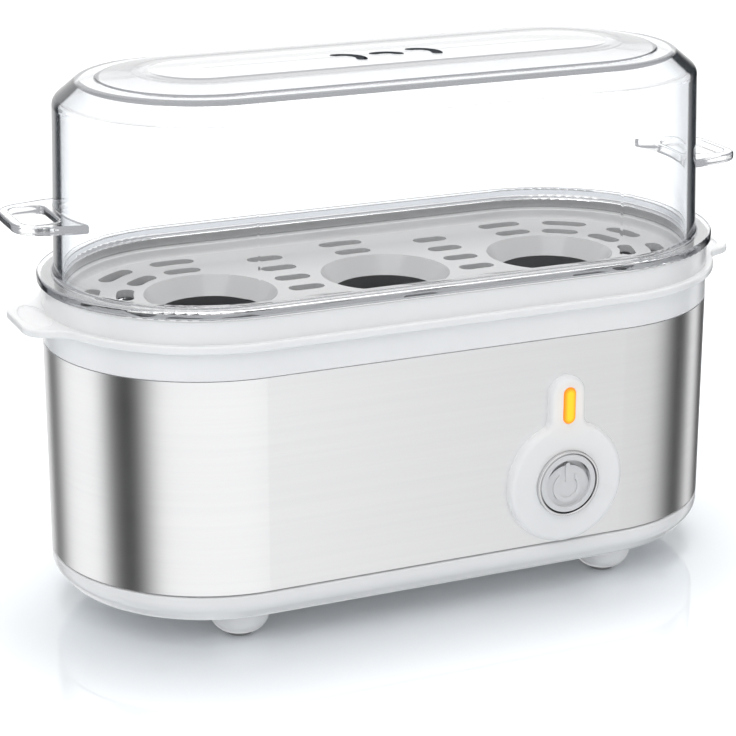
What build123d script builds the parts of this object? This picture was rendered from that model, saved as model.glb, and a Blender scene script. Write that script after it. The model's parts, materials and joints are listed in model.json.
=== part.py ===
from build123d import *
import os
from math import cos, radians, sin, tan

# Electric egg cooker with three seats. X runs along the body, +Y points to the back,
# +Z is up. The origin is on the table under the middle of the body. Sizes are in mm.

os.makedirs("parts", exist_ok=True)

# Body outline: a slot with full round ends
body_length = 188.0
body_width = 86.2
end_radius = body_width / 2
half_spine = (body_length - body_width) / 2

# Heights of the visible bands, from the table upwards
base_bottom = 8.0
base_height = 8.15
band_height = 57.8
collar_height = 7.45
base_top = base_bottom + base_height
band_top = base_top + band_height
collar_top = band_top + collar_height

# Clearances
rest_gap = 0.1
seat_gap = 0.05
slide_gap = 0.3
drop_in_gap = 0.4
peg_gap = 0.1
band_fit = 0.15

# Edge rounds, how far cuts overrun, how deep pins are rooted, and a tolerance for picking edges
fine_round = 0.4
soft_round = 0.6
cut_spare = 1.0
root_depth = 1.0
near = 0.01

# Base shell
base_inset = 3.8
base_bevel_height = 4.6
base_bevel_round = 4.0
base_top_round = 0.5
base_floor = 2.4
base_lip_wall = 1.8
base_lip_height = 4.0
seam_depth = 0.8
seam_height = 1.0
floor_top = base_bottom + base_floor

# Steel band
band_thickness = 0.8
band_seam = 0.6
band_inner = end_radius - band_thickness
lip_outer = band_inner - band_fit

# Housing collar
collar_wall = 2.6
collar_skirt_wall = 2.0
collar_skirt_height = 6.0
deck_thickness = 2.3
deck_drop = 5.9
deck_top = collar_top - deck_drop
collar_inner = end_radius - collar_wall

# Posts of the collar and the screws that clamp the base to them
post_radius = 3.0
post_wall_gap = 2.2
post_angle = 45.0
post_ring = lip_outer - base_lip_wall - post_wall_gap - post_radius
screw_radius = 1.5
screw_head_radius = 2.6
screw_head_height = 2.2
screw_bite = 10.0
screw_hole_spare = 2.0
boss_wall = 0.8
boss_height = 3.6
boss_top = floor_top + boss_height
head_recess = 3.0
cross_length = 3.2
driver_width = 0.8
driver_depth = 0.8

# Water bowl and its seal
bowl_wall = 1.0
bowl_depth = 13.5
bowl_clear = 0.6
bowl_side_gap = 11.7
bowl_rim = 6.1
bowl_corner = 4.0
seal_thickness = 1.0
seal_width = 3.0
seal_margin = 1.0
bowl_outer = end_radius - bowl_side_gap
bowl_top = deck_top + seal_thickness + bowl_wall
bowl_floor = bowl_top - bowl_depth
bowl_under = bowl_floor - bowl_wall

# Heating element, its clamps, the thermostat and the thermal fuse
element_radius = 3.2
element_run = 20.0
element_half_length = 45.0
element_pin_x = 10.0
element_pin_drop = 13.4
element_bend = 7.0
stud_x = 26.0
stud_radius = 2.0
stud_spare = 3.0
clamp_width = 10.0
clamp_thickness = 1.2
clamp_overhang = 3.0
nut_flats = 7.0
nut_height = 3.2
thermostat_radius = 7.6
thermostat_height = 8.0
thermostat_flange = 0.8
ear_pitch = 24.0
ear_radius = 3.6
ear_boss_radius = 2.8
ear_boss_height = 2.0
ear_screw_radius = 1.25
ear_screw_length = 2.4
ear_screw_head_radius = 2.4
ear_screw_head_height = 1.6
blade_width = 6.3
blade_thickness = 0.8
blade_length = 7.0
blade_offset = 4.0
fuse_radius = 2.0
fuse_length = 11.0

# Control panel on the front: keyhole plate, push button and indicator
panel_radius = 16.9
panel_side_margin = 0.85
panel_foot_margin = 0.95
panel_neck_half = 5.3
panel_neck_rise = 24.4
panel_proud = 2.4
panel_edge_round = 1.7
panel_neck_round = 2.5
panel_x = half_spine - panel_radius - panel_side_margin
panel_z = base_top + panel_foot_margin + panel_radius
panel_front = end_radius + panel_proud
panel_back = panel_proud + band_thickness

ring_radius = 9.1
ring_wall = 0.7
ring_depth = 3.0
ring_proud = 1.0
ring_round = 0.3
button_gap = 0.2
button_proud = 0.8
button_length = 6.0
button_skirt = 1.4
button_front_wall = 1.5
button_dish_margin = 1.6
button_dish_depth = 1.1
button_groove_width = 1.7
button_groove_depth = 1.1
button_travel = 2.5
symbol_height = 0.4
symbol_radius = 3.6
symbol_stroke = 1.2
symbol_gap = 4.6
symbol_bar = 5.5
symbol_bar_rise = 4.15
symbol_drop = 1.2
stem_radius = 2.5
stem_collar = 0.8
stem_collar_length = 1.1
barrel_wall = 2.2
barrel_floor = 1.8
barrel_spare = 2.5
button_radius = ring_radius - ring_wall - button_gap
barrel_radius = ring_radius - ring_wall + barrel_wall
barrel_seat = button_length + button_travel + barrel_spare
barrel_end = barrel_seat + barrel_floor
stem_end = barrel_end + rest_gap + stem_collar_length

spring_wire = 0.7
spring_mean_radius = 4.4
spring_turns = 4

plunger_radius = 2.0
plunger_length = 10.0
plunger_start = stem_end + rest_gap
switch_gap = 1.5
bracket_thickness = 1.2
bracket_height = 14.0
bracket_ear = 8.0
bracket_margin = 1.0
bracket_corner = 2.0
switch_corner = 1.0
switch_width = 18.0
switch_height = 20.0
switch_depth = 15.0
switch_nose = 4.0
bracket_start = stem_end + button_travel + switch_gap
switch_start = bracket_start + bracket_thickness
switch_end = switch_start + switch_depth
panel_post_radius = 2.4
panel_post_reach = 13.9
panel_screw_radius = 1.1
panel_screw_length = 5.0
panel_screw_spare = 1.0
panel_screw_head_radius = 2.2
panel_screw_head_height = 1.5
terminal_length = 6.0
terminal_offset = 4.0

lens_width = 3.5
lens_height = 10.0
lens_rise = 21.7
lens_proud = 0.5
lens_round = 0.45
lens_flange = 1.0
lens_flange_thickness = 1.1
lamp_radius = 1.4
lamp_length = 5.2
lamp_gap = 1.0
lamp_tip_flat = 0.3
lamp_pin_radius = 0.4
lamp_pin_length = 1.0
lamp_pin_offset = 0.8
holder_wall = 1.2
holder_margin = 0.6
holder_flange_thickness = 1.5
holder_back = 1.4
holder_corner = 2.0
holder_room = 0.5
stake_radius = 0.8
stake_head_radius = 1.2
stake_head_height = 0.9
stake_margin = 0.3
holder_depth = lamp_length + holder_back

# Cord gland in the back of the band, with the clip that holds it, and the terminal block
gland_side_margin = 9.6
gland_lip_gap = 0.5
gland_bore = 7.0
gland_wall = 1.7
gland_flange = 2.0
gland_length = 10.0
gland_groove = 0.6
clip_thickness = 1.5
clip_width = 3.6
gland_proud = panel_proud + max(ring_proud, lens_proud)
clip_inner = gland_bore / 2 + gland_wall - gland_groove + peg_gap
clip_outer = clip_inner + clip_width
gland_x = clip_outer + gland_side_margin - half_spine
gland_z = base_top + base_lip_height + clip_outer + gland_lip_gap
block_length = 24.0
block_width = 15.0
block_height = 11.0
block_corner = 1.0
block_back_gap = 3.0
block_pin_radius = 1.5
block_pin_height = 4.0
block_pin_pitch = 14.0
block_poles = 2
block_pole_pitch = 8.0
pole_screw_radius = 1.7
pole_screw_height = 1.6
pole_screw_depth = 4.0

# Wiring inside the housing
lead_radius = 1.1
lead_bend = 4.0
lead_run = 9.0
bend_share = 0.45
lamp_lead_radius = 0.6
lamp_lead_bend = 1.5
lamp_lead_inset = 0.7
lamp_lead_run = 1.8
lamp_lead_rise = 3.5

# Feet
foot_end_offset = 3.1
foot_side_inset = 14.6
foot_x = half_spine + foot_end_offset
foot_y = end_radius - foot_side_inset
foot_radius = 7.9
foot_round = 5.5
foot_lift = 0.8
foot_peg_radius = 2.5
pad_radius = 3.2
pad_sink = 0.7

# Egg tray
tray_bottom = collar_top + rest_gap
tray_rim_height = 8.2
tray_bead = 1.9
tray_bead_height = 2.1
tray_rim_width = 3.0
tray_ledge_drop = 2.7
tray_ledge_width = 3.2
tray_floor_drop = 5.3
tray_floor = 2.0
tray_floor_round = 1.2
tray_skirt_wall = 2.0
tray_skirt_depth = 4.0
tray_rim_top = tray_bottom + tray_rim_height
tray_floor_top = tray_rim_top - tray_floor_drop
tray_rim_inner = end_radius - tray_rim_width
tray_floor_edge = tray_rim_inner - tray_ledge_width
seat_pitch = 50.0
seat_radius = 17.5
seat_foot_radius = 14.0
seat_depth = 5.0
seat_wall = 1.8
slot_web = 0.7
slot_width = 4.6
slot_row_pitch = 10.0
slot_rows = 6
slot_ring_pitch = 9.0
slot_edge_gap = 3.2
slot_ring_count = 6
slot_ring_step = 36.0
slot_ring_span = 15.0
tab_reach = 8.8
tab_half_width = 11.5
tab_flare = 22.3
tab_corner = 7.0
tab_root_round = 8.0
tab_dish_length = 7.6
tab_dish_width = 21.0
tab_dish_depth = 1.2
tab_rim = 1.6

# Lid
lid_wall = 2.2
lid_flange = 1.0
lid_flange_thickness = 2.4
lid_lip_depth = 2.3
lid_shoulder_z = 47.0
lid_draft = 1.4
lid_shoulder_height = 5.2
lid_shoulder_width = 6.3
lid_shoulder_round = 3.0
lid_ledge_round = 2.5
lid_ledge_width = 4.6
lid_crown_edge = 0.4
lid_crown_lean = 0.5
lid_slope_width = 11.0
lid_slope_height = 1.6
lid_crest_round = 30.0
lid_crown_height = 2.05
lid_lip_outer = end_radius - tray_rim_width - drop_in_gap
lid_bottom = tray_rim_top + rest_gap
lid_top = lid_bottom + lid_shoulder_z + lid_shoulder_height
vent_width = 3.0
vent_radius = 5.0
vent_spacing = 10.75
side_vent_shift = 2.65
side_vent_drop = 3.55
side_vent_first = -25.0
side_vent_sweep = 115.0
middle_vent_shift = 1.5
middle_vent_drop = 5.0
middle_vent_first = 30.0
middle_vent_sweep = 77.0
grip_reach = 10.1
grip_half_width = 12.0
grip_root_half = 15.5
grip_corner = 8.0
grip_bar = 3.0
grip_thickness = 2.3
grip_rise = 18.1
grip_window_wall = 1.5
grip_window_corner = 3.0
grip_edge_round = 0.7


def slab(inset, low, high):
    """Solid with the body's plan, drawn in by an inset, between two heights."""
    plan = SlotOverall(body_length - 2 * inset, body_width - 2 * inset)
    return Pos(0, 0, low) * extrude(plan, high - low)


def around(section):
    """Carry a section, drawn as distance from the spine against height, round the body."""
    end = Rot(0, 0, -90) * revolve(Plane.XZ * section, Axis.Z, 180)
    right = Pos(half_spine, 0, 0) * end
    left = Rot(0, 0, 180) * right
    back_plane = Plane(origin=(-half_spine, 0, 0), x_dir=(0, 1, 0), z_dir=(1, 0, 0))
    back = extrude(back_plane * section, 2 * half_spine)
    front = Rot(0, 0, 180) * back
    return right + left + back + front


def section_of(*corners):
    """Closed section from corners given as (distance, height, rounding)."""
    points = [(corner[0], corner[1]) for corner in corners]
    rounds = [corner[2] for corner in corners]
    return make_face(FilletPolyline(*points, radius=rounds, close=True).edges())


def upright(radius, low, high, x=0.0, y=0.0):
    """Vertical cylinder between two heights."""
    return Pos(x, y, low) * extrude(Circle(radius), high - low)


def inward(sketch, start, end):
    """Prism behind the panel's front face, between two depths into the body."""
    front = Plane(origin=(panel_x, -panel_front + start, panel_z), x_dir=(1, 0, 0), z_dir=(0, -1, 0))
    return extrude(front * sketch, start - end)


def at_corners(x, y):
    """The four places that mirror one place in both middle planes."""
    return [(-x, -y), (x, -y), (-x, y), (x, y)]


def tube(radius, bend, *points):
    """Round lead along straight runs joined by tangent arcs that the runs have room for."""
    runs = [(Vector(*b) - Vector(*a)).length for a, b in zip(points, points[1:])]
    path = FilletPolyline(*points, radius=min(bend, bend_share * min(runs)))
    start = Plane(origin=path @ 0, z_dir=path % 0)
    return sweep(start * Circle(radius), path)


post_places = at_corners(
    half_spine + post_ring * cos(radians(post_angle)), post_ring * sin(radians(post_angle))
)
foot_places = at_corners(foot_x, foot_y)


def base_shell():
    lip_inner = lip_outer - base_lip_wall
    shell = around(section_of(
        (0, base_bottom, 0),
        (end_radius - base_inset, base_bottom, base_bevel_round),
        (end_radius, base_bottom + base_bevel_height, base_bevel_round),
        (end_radius, base_top, base_top_round),
        (lip_outer - seam_depth, base_top, 0),
        (lip_outer - seam_depth, base_top + seam_height, 0),
        (lip_outer, base_top + seam_height, 0),
        (lip_outer, base_top + base_lip_height, fine_round),
        (lip_inner, base_top + base_lip_height, fine_round),
        (lip_inner, floor_top, 0),
        (0, floor_top, 0),
    ))
    head_top = base_bottom + head_recess
    for x, y in post_places:
        shell += upright(screw_head_radius + peg_gap + boss_wall, floor_top - root_depth, boss_top, x, y)
    for x, y in post_places:
        shell -= upright(screw_head_radius + peg_gap, base_bottom, head_top, x, y)
        shell -= upright(screw_radius + peg_gap, base_bottom, boss_top, x, y)
    for x, y in foot_places:
        shell -= upright(foot_peg_radius + peg_gap, base_bottom, floor_top, x, y)
    for x, y in block_pins():
        shell += upright(block_pin_radius, floor_top, floor_top + block_pin_height, x, y)
    return shell


def base_screws():
    head_top = base_bottom + head_recess
    tip = boss_top + screw_bite
    screws = Part()
    for x, y in post_places:
        head = upright(screw_head_radius, head_top - seat_gap - screw_head_height, head_top - seat_gap, x, y)
        bar = Box(cross_length, driver_width, 2 * driver_depth)
        cross = Pos(x, y, head_top - seat_gap - screw_head_height) * (bar + Rot(0, 0, 90) * bar)
        screws += head + upright(screw_radius, head_top - seat_gap, tip, x, y) - cross
    return screws


def steel_band():
    low = base_top + band_seam
    band = slab(0, low, band_top) - slab(band_thickness, low, band_top)
    barrel_hole = Circle(barrel_radius + peg_gap)
    holder_hole = lens_shape(lens_flange + peg_gap)
    through = panel_proud - cut_spare, panel_back + cut_spare
    band -= inward(barrel_hole, *through)
    band -= inward(holder_hole, *through)
    for x in (-panel_post_reach, panel_post_reach):
        band -= inward(Pos(x, 0) * Circle(panel_post_radius + peg_gap), *through)
    for place in stake_places():
        band -= inward(place * Circle(stake_radius + peg_gap), *through)
    gland_hole = Circle(gland_bore / 2 + gland_wall + peg_gap)
    return band - gland_prism(gland_hole, band_inner - cut_spare, end_radius + cut_spare)


def housing_collar():
    skirt_bottom = band_top - collar_skirt_height
    hole = bowl_outer + bowl_clear
    collar = around(section_of(
        (end_radius, band_top + seat_gap, fine_round),
        (end_radius, collar_top, soft_round),
        (collar_inner, collar_top, fine_round),
        (collar_inner, deck_top, 0),
        (hole, deck_top, 0),
        (hole, deck_top - deck_thickness, 0),
        (lip_outer - collar_skirt_wall, deck_top - deck_thickness, 0),
        (lip_outer - collar_skirt_wall, skirt_bottom, 0),
        (lip_outer, skirt_bottom, 0),
        (lip_outer, band_top + seat_gap, 0),
    ))
    post_bottom = boss_top + seat_gap
    pilot_top = boss_top + screw_bite + screw_hole_spare
    for x, y in post_places:
        collar += upright(post_radius, post_bottom, deck_top - deck_thickness / 2, x, y)
    for x, y in post_places:
        collar -= upright(screw_radius + seat_gap, post_bottom, pilot_top, x, y)
    return collar - inward(holder_flange(holder_room), panel_back, holder_start() + holder_depth)


def heating_bowl():
    inner = bowl_outer - bowl_wall
    bowl = around(section_of(
        (0, bowl_under, 0),
        (bowl_outer, bowl_under, bowl_corner + bowl_wall),
        (bowl_outer, bowl_top - bowl_wall, 0),
        (bowl_outer + bowl_rim, bowl_top - bowl_wall, 0),
        (bowl_outer + bowl_rim, bowl_top, fine_round),
        (inner, bowl_top, soft_round),
        (inner, bowl_floor, bowl_corner),
        (0, bowl_floor, 0),
    ))
    for x in (-stud_x, stud_x):
        bowl += upright(stud_radius, stud_bottom(), bowl_under + bowl_wall / 2, x, 0)
    for y in (-ear_pitch / 2, ear_pitch / 2):
        bowl += upright(ear_boss_radius, bowl_under - ear_boss_height, bowl_under + bowl_wall / 2, 0, y)
        bowl -= upright(ear_screw_radius + seat_gap, bowl_under - ear_boss_height, bowl_under, 0, y)
    return bowl


def bowl_seal():
    inner = bowl_outer + bowl_rim - seal_width - seal_margin
    return around(section_of(
        (inner, deck_top, 0),
        (inner + seal_width, deck_top, 0),
        (inner + seal_width, deck_top + seal_thickness, 0),
        (inner, deck_top + seal_thickness, 0),
    ))


def element_height():
    return bowl_under - rest_gap - element_radius


def heating_element():
    z = element_height()
    bottom = z - element_pin_drop
    y = element_run
    end = element_half_length
    first = FilletPolyline(
        (element_pin_x, y, bottom), (element_pin_x, y, z), (end, y, z), radius=element_bend
    )
    right = ThreePointArc((end, y, z), (end + y, 0, z), (end, -y, z))
    front = Line((end, -y, z), (-end, -y, z))
    left = ThreePointArc((-end, -y, z), (-end - y, 0, z), (-end, y, z))
    last = FilletPolyline(
        (-end, y, z), (-element_pin_x, y, z), (-element_pin_x, y, bottom), radius=element_bend
    )
    path = Wire(first.edges() + right.edges() + front.edges() + left.edges() + last.edges())
    start = Plane(origin=path @ 0, z_dir=path % 0)
    return sweep(start * Circle(element_radius), path)


def clamp_height():
    return element_height() - element_radius - rest_gap - clamp_thickness


def stud_bottom():
    return clamp_height() - rest_gap - nut_height - stud_spare


def element_clamps():
    clamps = Part()
    length = 2 * (element_run + element_radius + clamp_overhang)
    for x in (-stud_x, stud_x):
        plan = SlotOverall(length, clamp_width, rotation=90) - Circle(stud_radius + peg_gap)
        clamps += Pos(x, 0, clamp_height()) * extrude(plan, clamp_thickness)
    return clamps


def clamp_nuts():
    nuts = Part()
    for x in (-stud_x, stud_x):
        plan = RegularPolygon(nut_flats / 2, 6, major_radius=False) - Circle(stud_radius + seat_gap)
        nuts += Pos(x, 0, clamp_height() - rest_gap - nut_height) * extrude(plan, nut_height)
    return nuts


def thermostat_bottom():
    return bowl_under - rest_gap - thermostat_height


def thermostat():
    ear_top = bowl_under - ear_boss_height - seat_gap
    ears = SlotCenterToCenter(ear_pitch, 2 * ear_radius, rotation=90)
    for y in (-ear_pitch / 2, ear_pitch / 2):
        ears -= Pos(0, y) * Circle(ear_screw_radius + peg_gap)
    body = upright(thermostat_radius, thermostat_bottom(), bowl_under - rest_gap)
    body += Pos(0, 0, ear_top - thermostat_flange) * extrude(ears, thermostat_flange)
    for x in (-blade_offset, blade_offset):
        blade = Pos(x, 0) * Rectangle(blade_thickness, blade_width)
        body += Pos(0, 0, thermostat_bottom() - blade_length) * extrude(blade, blade_length)
    return body


def thermostat_screws():
    ear_bottom = bowl_under - ear_boss_height - seat_gap - thermostat_flange
    head_top = ear_bottom - seat_gap
    screws = Part()
    for y in (-ear_pitch / 2, ear_pitch / 2):
        screws += upright(ear_screw_head_radius, head_top - ear_screw_head_height, head_top, 0, y)
        screws += upright(ear_screw_radius, head_top, head_top + ear_screw_length, 0, y)
    return screws


def keyhole():
    """Plan of the panel: a disc with a round-ended neck above it."""
    neck = SlotCenterToCenter(panel_neck_rise, 2 * panel_neck_half, rotation=90)
    plan = Circle(panel_radius) + Pos(0, panel_neck_rise / 2) * neck
    joints = plan.vertices().filter_by(lambda v: abs(v.Y - panel_radius) < panel_neck_half / 2)
    return fillet(joints.filter_by(lambda v: abs(v.X) > panel_neck_half / 2), panel_neck_round)


def lens_shape(grow=0.0):
    """Outline of the indicator lens in its place on the panel, grown all round."""
    return Pos(0, lens_rise) * SlotOverall(lens_height + 2 * grow, lens_width + 2 * grow, rotation=90)


def stake_reach():
    """Distance of the panel's two stakes from the middle line of the lens."""
    return lens_width / 2 + lens_flange + peg_gap + stake_head_radius


def stake_places():
    return [Pos(side * stake_reach(), lens_rise) for side in (-1, 1)]


def holder_flange(grow=0.0):
    """Outline of the lamp holder's flange, grown all round."""
    half_width = stake_reach() + stake_head_radius + stake_margin + grow
    half_height = lens_height / 2 + lens_flange + holder_margin + grow
    return Pos(0, lens_rise) * RectangleRounded(2 * half_width, 2 * half_height, holder_corner)


def control_bezel():
    plate = inward(keyhole(), 0, panel_proud)
    front_edges = plate.edges().filter_by(lambda e: abs(e.center().Y + panel_front) < near)
    plate = fillet(front_edges, panel_edge_round)
    plate += inward(Circle(barrel_radius), panel_proud / 2, barrel_end)
    plate -= inward(Circle(ring_radius + seat_gap), 0, ring_depth)
    plate -= inward(Circle(ring_radius - ring_wall), 0, barrel_seat)
    plate -= inward(Circle(stem_radius + slide_gap), 0, barrel_end)
    plate -= inward(lens_shape(peg_gap), 0, panel_proud)
    for x in (-panel_post_reach, panel_post_reach):
        plate += inward(Pos(x, 0) * Circle(panel_post_radius), panel_proud / 2, bracket_start - seat_gap)
        plate -= inward(
            Pos(x, 0) * Circle(panel_screw_radius + seat_gap),
            bracket_start - panel_screw_length - panel_screw_spare,
            bracket_start,
        )
    stake_end = panel_back + seat_gap + holder_flange_thickness + seat_gap
    for place in stake_places():
        plate += inward(place * Circle(stake_radius), panel_proud / 2, stake_end)
        plate += inward(place * Circle(stake_head_radius), stake_end, stake_end + stake_head_height)
    return plate


def button_ring():
    ring = inward(Circle(ring_radius) - Circle(ring_radius - ring_wall), -ring_proud, ring_depth - seat_gap)
    front = ring.edges().filter_by(lambda e: abs(e.center().Y + panel_front + ring_proud) < near)
    return fillet(front, min(ring_round, ring_wall / 3))


def power_symbol():
    loop = Circle(symbol_radius + symbol_stroke / 2) - Circle(symbol_radius - symbol_stroke / 2)
    loop -= Pos(0, symbol_radius) * Rectangle(symbol_gap, symbol_radius)
    bar = Pos(0, symbol_bar_rise) * SlotOverall(symbol_bar, symbol_stroke, rotation=90)
    return Pos(0, -symbol_drop) * (loop + bar)


def power_button():
    front = -button_proud
    dish = front + button_dish_depth
    dish_radius = button_radius - button_dish_margin
    cap = inward(Circle(button_radius), front, front + button_length)
    rims = cap.edges().filter_by(lambda e: abs(e.center().Y + panel_front - front) < near)
    cap = fillet(rims, fine_round)
    cap -= inward(Circle(dish_radius), front, dish)
    groove = Circle(dish_radius) - Pos(0, -button_groove_width) * Circle(dish_radius)
    cap -= inward(groove, dish, dish + button_groove_depth)
    cap -= inward(Circle(button_radius - button_skirt), dish + button_front_wall, front + button_length)
    cap += inward(power_symbol(), dish - symbol_height, dish + button_front_wall / 2)
    cap += inward(Circle(stem_radius), dish + button_front_wall / 2, stem_end)
    cap += inward(Circle(stem_radius + stem_collar), barrel_end + rest_gap, stem_end)
    return cap


def biarc(start, start_dir, end, end_dir):
    """Two tangent arcs that join two points with given directions."""
    chord = end - start
    both = start_dir + end_dir
    a = 2 * (1 - start_dir.dot(end_dir))
    b = 2 * chord.dot(both)
    c = chord.dot(chord)
    reach = (-b + (b * b + 4 * a * c) ** 0.5) / (2 * a)
    middle = (start + start_dir * reach + end - end_dir * reach) * 0.5
    first = TangentArc(start, middle, tangent=start_dir)
    return [first, TangentArc(middle, end, tangent=first % 1)]


def button_spring():
    low = button_front_wall + button_dish_depth - button_proud + rest_gap + spring_wire / 2
    high = barrel_seat - rest_gap - spring_wire / 2
    pitch = (high - low) / spring_turns
    rise = pitch / radians(360)
    steps = 4 * spring_turns

    def place(step):
        turn = radians(90) * step
        return Vector(
            panel_x + spring_mean_radius * cos(turn),
            -panel_front + low + rise * turn,
            panel_z + spring_mean_radius * sin(turn),
        )

    def heading(step):
        turn = radians(90) * step
        return Vector(-spring_mean_radius * sin(turn), rise, spring_mean_radius * cos(turn)).normalized()

    arcs = []
    for step in range(steps):
        arcs += biarc(place(step), heading(step), place(step + 1), heading(step + 1))
    path = Wire([arc.edge() for arc in arcs])
    print("button spring: gap between turns %.2f mm" % (pitch - spring_wire))
    start = Plane(origin=place(0), z_dir=heading(0))
    return sweep(start * Circle(spring_wire / 2), path)


def switch_plunger():
    return inward(Circle(plunger_radius), plunger_start, plunger_start + plunger_length)


def push_switch():
    case = RectangleRounded(switch_width, switch_height, switch_corner)
    body = inward(case, switch_start + seat_gap, switch_end)
    body += inward(Circle(switch_nose), bracket_start, switch_start + bracket_thickness)
    bore_end = plunger_start + plunger_length + button_travel + rest_gap
    body -= inward(Circle(plunger_radius + slide_gap), bracket_start, bore_end)
    for x in (-terminal_offset, terminal_offset):
        blade = Pos(x, 0) * Rectangle(blade_thickness, blade_width)
        body += inward(blade, switch_end - root_depth, switch_end + terminal_length)
    return body


def switch_bracket():
    reach = panel_post_reach + panel_post_radius + bracket_margin
    plate = RectangleRounded(2 * reach, bracket_height, bracket_corner) - Circle(switch_nose + peg_gap)
    for x in (-panel_post_reach, panel_post_reach):
        plate -= Pos(x, 0) * Circle(panel_screw_radius + peg_gap)
    bracket = inward(plate, bracket_start, switch_start)
    ear_x = switch_width / 2 + peg_gap + bracket_thickness / 2
    for x in (-ear_x, ear_x):
        ear = Pos(x, 0) * Rectangle(bracket_thickness, bracket_height)
        bracket += inward(ear, bracket_start, switch_start + bracket_ear)
    return bracket


def bracket_screws():
    screws = Part()
    for x in (-panel_post_reach, panel_post_reach):
        head = Pos(x, 0) * Circle(panel_screw_head_radius)
        shank = Pos(x, 0) * Circle(panel_screw_radius)
        screws += inward(head, switch_start + seat_gap, switch_start + seat_gap + panel_screw_head_height)
        screws += inward(shank, bracket_start - panel_screw_length, switch_start + seat_gap)
    return screws


def indicator_lens():
    lens = inward(lens_shape(), -lens_proud, panel_proud + seat_gap)
    rim = lens.edges().filter_by(lambda e: abs(e.center().Y + panel_front + lens_proud) < near)
    lens = fillet(rim, lens_round)
    flange_start = panel_proud + seat_gap
    return lens + inward(lens_shape(lens_flange), flange_start, flange_start + lens_flange_thickness)


def holder_start():
    return panel_proud + 2 * seat_gap + lens_flange_thickness


def lamp_holder():
    flange_start = panel_back + seat_gap
    holder = inward(holder_flange(), flange_start, flange_start + holder_flange_thickness)
    holder += inward(lens_shape(lens_flange), holder_start(), holder_start() + holder_depth)
    holder -= inward(lens_shape(lens_flange), 0, holder_start())
    holder -= inward(lens_shape(lens_flange - holder_wall), 0, holder_start() + lamp_length)
    for place in stake_places():
        holder -= inward(place * Circle(stake_radius + peg_gap), 0, panel_back + holder_depth)
    for x in (-lamp_pin_offset, lamp_pin_offset):
        pin = Pos(x, lens_rise) * Circle(lamp_pin_radius + seat_gap)
        holder -= inward(pin, 0, holder_start() + holder_depth)
    return holder


def indicator_lamp():
    end = holder_start() + lamp_length - seat_gap
    bulb = inward(Pos(0, lens_rise) * Circle(lamp_radius), holder_start() + lamp_gap, end)
    tip = bulb.edges().sort_by(Axis.Y)[0]
    bulb = fillet(tip, lamp_radius - lamp_tip_flat)
    for x in (-lamp_pin_offset, lamp_pin_offset):
        pin = Pos(x, lens_rise) * Circle(lamp_pin_radius)
        bulb += inward(pin, end - root_depth, holder_start() + holder_depth + lamp_pin_length)
    return bulb


def gland_prism(sketch, low, high):
    """Prism along the gland's axis, between two distances behind the body's middle."""
    plane = Plane(origin=(gland_x, low, gland_z), x_dir=(-1, 0, 0), z_dir=(0, 1, 0))
    return extrude(plane * sketch, high - low)


def cord_gland():
    bore = gland_bore / 2
    outer = bore + gland_wall
    flange_back = end_radius + gland_proud
    inner_end = band_inner - gland_length
    gland = gland_prism(Circle(outer), inner_end, flange_back)
    gland += gland_prism(Circle(outer + gland_flange), end_radius + seat_gap, flange_back)
    rim = gland.edges().filter_by(lambda e: abs(e.center().Y - flange_back) < near)
    gland = fillet(rim, gland_flange / 2)
    groove_end = band_inner - seat_gap
    groove = Circle(outer + cut_spare) - Circle(outer - gland_groove)
    gland -= gland_prism(groove, groove_end - clip_thickness - 2 * seat_gap, groove_end)
    return gland - gland_prism(Circle(bore), inner_end, flange_back)


def gland_clip():
    mouth = Pos(0, -clip_outer) * Rectangle(2 * clip_inner, 2 * clip_outer)
    plan = Circle(clip_outer) - Circle(clip_inner) - mouth
    high = band_inner - 2 * seat_gap
    return gland_prism(plan, high - clip_thickness, high)


def block_centre():
    return (gland_x, band_inner - gland_length - block_back_gap - block_width / 2)


def block_pins():
    x, y = block_centre()
    return [(x - block_pin_pitch / 2, y), (x + block_pin_pitch / 2, y)]


def pole_places():
    x, y = block_centre()
    first = -(block_poles - 1) / 2
    return [(x, y + (first + pole) * block_pole_pitch) for pole in range(block_poles)]


def block_top():
    return floor_top + seat_gap + block_height


def terminal_block():
    x, y = block_centre()
    plan = Pos(x, y) * RectangleRounded(block_length, block_width, block_corner)
    block = Pos(0, 0, floor_top + seat_gap) * extrude(plan, block_height)
    for pin_x, pin_y in block_pins():
        hole_top = floor_top + block_pin_height + rest_gap
        block -= upright(block_pin_radius + peg_gap, floor_top, hole_top, pin_x, pin_y)
    well_bottom = block_top() - pole_screw_depth - pole_screw_height
    for pole_x, pole_y in pole_places():
        block -= upright(pole_screw_radius + peg_gap, well_bottom, block_top(), pole_x, pole_y)
    return block


def terminal_screws():
    screws = Part()
    low = block_top() - pole_screw_depth - pole_screw_height + seat_gap
    for x, y in pole_places():
        screw = upright(pole_screw_radius, low, low + pole_screw_depth, x, y)
        slot = Pos(x, y, low + pole_screw_depth) * Box(2 * pole_screw_radius, driver_width, 2 * driver_depth)
        screws += screw - slot
    return screws


def switch_terminal(side):
    """Free end of one of the switch's two blades."""
    y = -panel_front + switch_end + terminal_length + seat_gap
    return (panel_x + side * terminal_offset, y, panel_z)


def block_exit(pole):
    """Where the lead of one pole leaves the block's side."""
    x = block_centre()[0] + block_length / 2 + seat_gap
    return (x, pole_places()[pole][1], floor_top + block_height / 2)


def supply_lead():
    x, y, z = switch_terminal(-1)
    exit_x, exit_y, low = block_exit(0)
    return tube(
        lead_radius, lead_bend, (exit_x, exit_y, low), (x, exit_y, low), (x, exit_y, z), (x, y, z)
    )


def blade_end(side):
    """Free end of one of the thermostat's two blades."""
    return (side * blade_offset, 0, thermostat_bottom() - blade_length - seat_gap)


def heater_lead_depth():
    return blade_end(1)[2] - lead_run


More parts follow.
